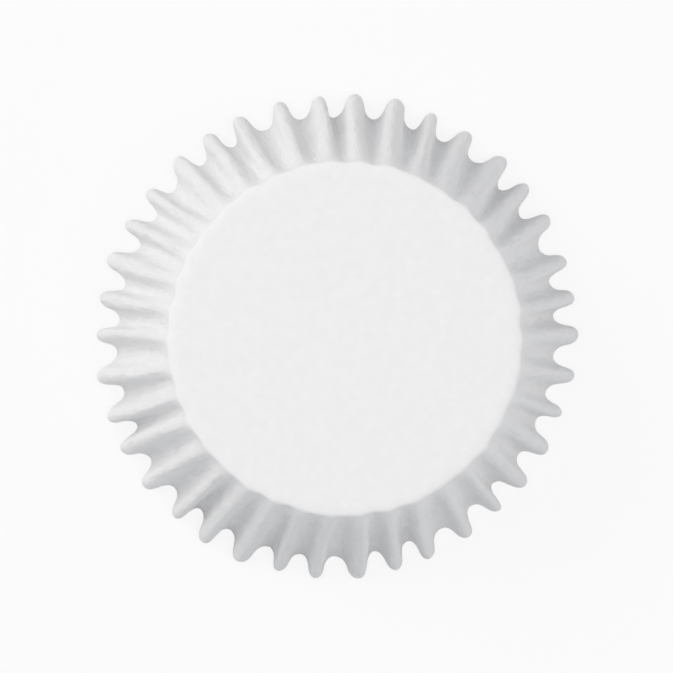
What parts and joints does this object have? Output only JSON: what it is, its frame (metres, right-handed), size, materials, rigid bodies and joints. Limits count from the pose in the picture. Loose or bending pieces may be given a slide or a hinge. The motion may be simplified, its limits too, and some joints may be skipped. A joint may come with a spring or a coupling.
{
  "type": "cupcake liner",
  "caption": "Pleated paper baking cup: a flat round base and a low flared wall of fine pleats, turned over so that it rests on its scalloped rim with the base on top.",
  "frame": {"origin": "centre of the rim, on the surface that the turned-over cup rests on", "axes": "+Z runs from the open rim up to the closed base; +X and +Y lie in the plane of the rim, and one pleat's ridge points along +X"},
  "size_m": [0.0724, 0.0728, 0.034],
  "materials": {
    "paper": "matt white greaseproof paper"
  },
  "bodies": {
    "root": {"liner": "paper"}
  },
  "joints": []
}
